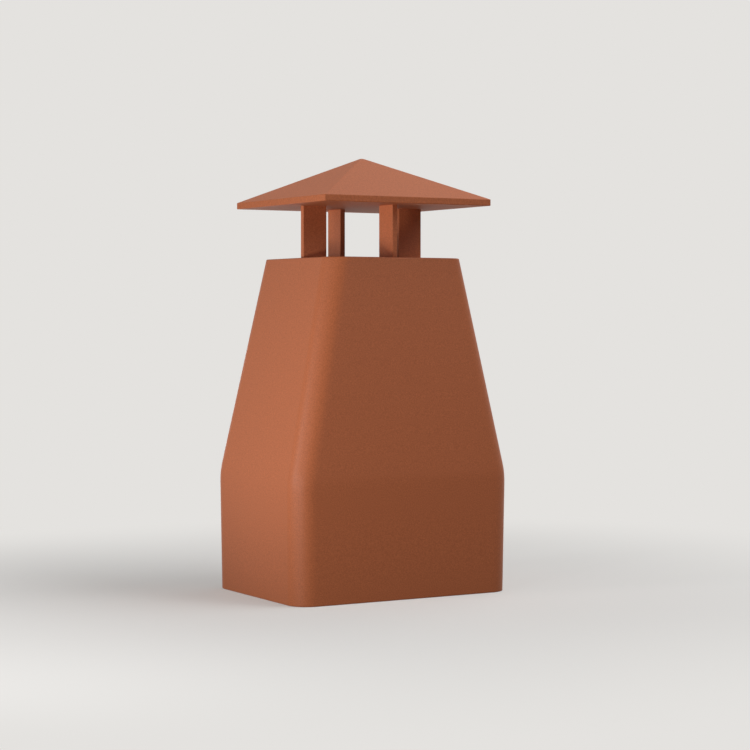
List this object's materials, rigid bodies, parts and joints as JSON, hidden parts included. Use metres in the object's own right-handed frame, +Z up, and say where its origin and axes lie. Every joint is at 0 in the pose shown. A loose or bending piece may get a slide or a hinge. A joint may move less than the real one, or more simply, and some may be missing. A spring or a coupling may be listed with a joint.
{
  "type": "chimney cap",
  "caption": "Terracotta chimney cap: hollow rectangular skirt tapering to a square top, upright spacer plates and a shallow pyramid roof.",
  "frame": {"origin": "middle of the base, on the plane that the foot rests on", "axes": "+Z up the flue, +X along the long side of the base, +Y along its short side"},
  "size_m": [0.3496, 0.268, 0.621],
  "materials": {
    "terracotta": "unglazed fired clay, fine sandy matt face"
  },
  "bodies": {
    "root": {"pot": "terracotta", "spacer_plate_front": "terracotta", "spacer_plate_back": "terracotta", "spacer_plate_left": "terracotta", "spacer_plate_right": "terracotta", "roof": "terracotta"}
  },
  "joints": []
}
